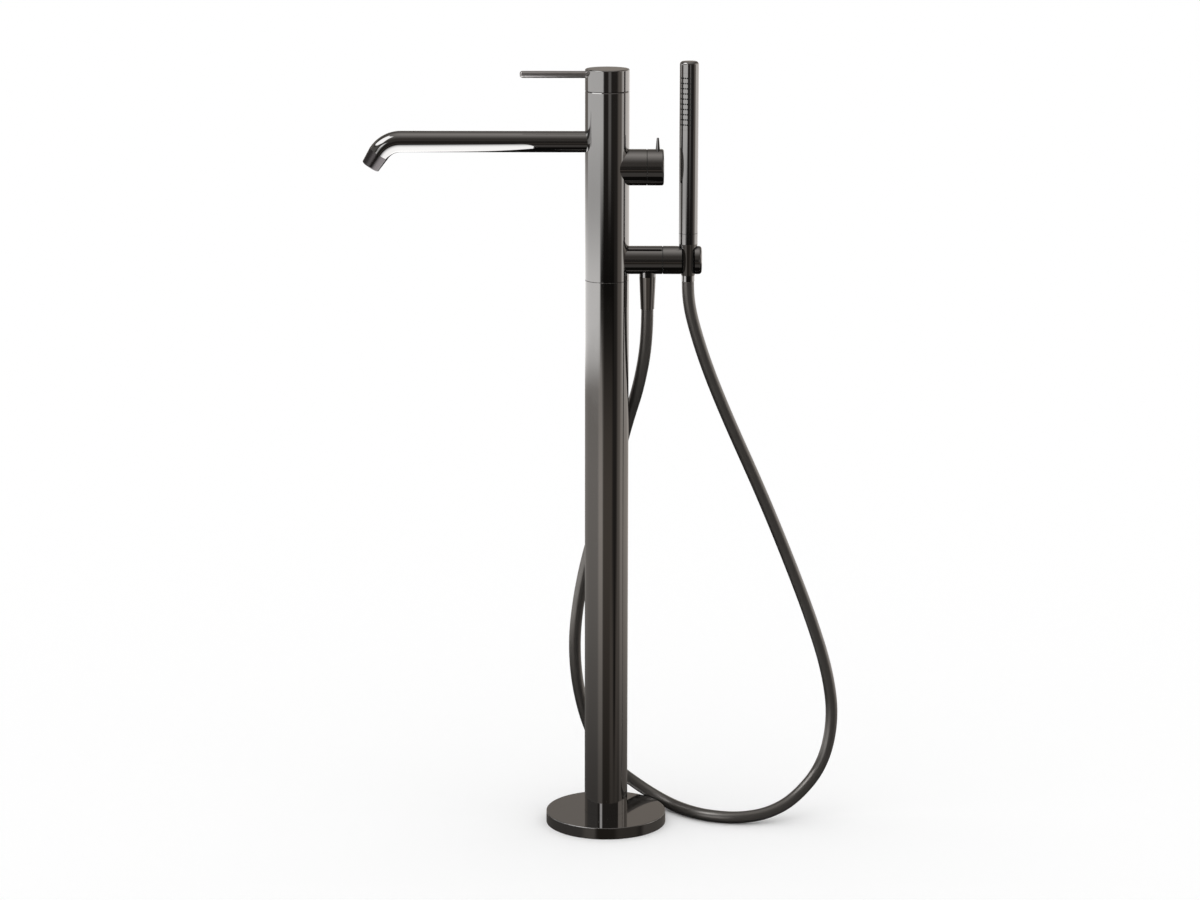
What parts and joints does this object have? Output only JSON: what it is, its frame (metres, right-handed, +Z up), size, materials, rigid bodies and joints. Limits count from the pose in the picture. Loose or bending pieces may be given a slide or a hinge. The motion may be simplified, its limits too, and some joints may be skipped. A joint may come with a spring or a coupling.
{
  "type": "floor standing bath filler",
  "caption": "Floor standing bath filler: slim column on a round base, tilting lever head, fixed bent spout, turning diverter, swivelling holder with a stick handset on a hanging hose.",
  "frame": {"origin": "on the floor, on the column's axis, at the centre of the floor flange's bolt circle", "axes": "+Z up along the column, -X the way the spout and the lever point, +X towards the outlet arm and the handset, -Y the front that the handset holder opens to"},
  "size_m": [0.5486, 0.1444, 0.8925],
  "materials": {
    "polished_gunmetal": "mirror-polished dark gunmetal plating",
    "raw_brass": "machined, unplated",
    "stainless": "turned stainless steel",
    "copper": "drawn pipe",
    "seal_rubber": "moulded black rubber",
    "white_plastic": "moulded",
    "dark_plastic": "moulded, fine satin",
    "ceramic": "lapped alumina ceramic",
    "hose_cover": "smooth dark metallic hose cover"
  },
  "bodies": {
    "stand": {"base_cover": "polished_gunmetal", "cover_seal": "seal_rubber", "floor_flange": "stainless", "inlet_block": "raw_brass", "column_tube": "polished_gunmetal", "column_set_screws": "stainless", "hot_supply_pipe": "copper", "cold_supply_pipe": "copper", "body_adapter": "raw_brass", "body_shell": "polished_gunmetal", "mixer_core": "raw_brass", "cartridge_seals": "seal_rubber", "cartridge_body": "white_plastic", "fixed_disc": "ceramic", "cartridge_nut": "raw_brass", "dome_ring": "polished_gunmetal", "spout_tube": "polished_gunmetal", "spout_nipple": "raw_brass", "spout_o_rings": "seal_rubber", "spout_set_screw": "stainless", "aerator_housing": "polished_gunmetal", "aerator_insert": "dark_plastic", "aerator_seal": "seal_rubber", "diverter_neck": "polished_gunmetal", "diverter_cartridge": "raw_brass", "outlet_arm": "polished_gunmetal", "arm_nipple": "raw_brass", "hose_outlet_nipple": "raw_brass", "check_valve": "white_plastic", "hose_nut": "polished_gunmetal", "hose_washer": "seal_rubber", "friction_washer": "dark_plastic", "shower_hose": "hose_cover"},
    "carrier": {"cartridge_carrier": "white_plastic", "carrier_pin": "stainless"},
    "slider": {"control_disc": "ceramic"},
    "head": {"lever_head": "polished_gunmetal", "head_set_screw": "stainless", "lever_pin": "polished_gunmetal", "cartridge_stem": "stainless"},
    "diverter": {"diverter_spindle": "raw_brass", "diverter_knob": "polished_gunmetal", "knob_set_screw": "stainless", "diverter_pin": "polished_gunmetal"},
    "holder": {"holder_spindle": "raw_brass", "holder_clip": "stainless", "spindle_seal": "seal_rubber", "holder_cradle": "polished_gunmetal", "holder_liner": "dark_plastic"},
    "hose_end": {"hose_ferrule": "polished_gunmetal"},
    "handset": {"cone_nut": "polished_gunmetal", "handset_washer": "seal_rubber", "handset_inlet": "raw_brass", "flow_limiter": "white_plastic", "handset_body": "polished_gunmetal", "spray_plate": "polished_gunmetal", "nozzle_mat": "dark_plastic"}
  },
  "joints": [
    {"name": "temperature_turn", "type": "hinge", "parent": "stand", "child": "carrier", "pos_m": [0, 0, 0.8432], "axis": [0, 0, 1], "range_deg": [-50, 50]},
    {"name": "flow_lift", "type": "hinge", "parent": "carrier", "child": "head", "pos_m": [0, 0, 0.8432], "axis": [0, 1, 0], "range_deg": [0, 20]},
    {"name": "disc_slide", "type": "slide", "parent": "carrier", "child": "slider", "axis": [-1, 0, 0], "range_m": [0, 0.00345]},
    {"name": "diverter_turn", "type": "hinge", "parent": "stand", "child": "diverter", "pos_m": [0.0452, 0, 0.7729], "axis": [1, 0, 0], "range_deg": [0, 90]},
    {"name": "holder_swivel", "type": "hinge", "parent": "stand", "child": "holder", "pos_m": [0.0631, 0, 0.6672], "axis": [1, 0, 0], "range_deg": [-20, 20], "deforming": ["shower_hose"]},
    {"name": "handset_lift", "type": "slide", "parent": "holder", "child": "hose_end", "axis": [0, 0, 1], "range_m": [0, 0.12], "deforming": ["shower_hose"]},
    {"name": "handset_spin", "type": "hinge", "parent": "hose_end", "child": "handset", "pos_m": [0.092, 0, 0.69], "axis": [0, 0, 1], "continuous": true}
  ],
  "couplings": [
    {"joint": "disc_slide", "follows": "flow_lift", "m_per_rad": 0.0098}
  ]
}
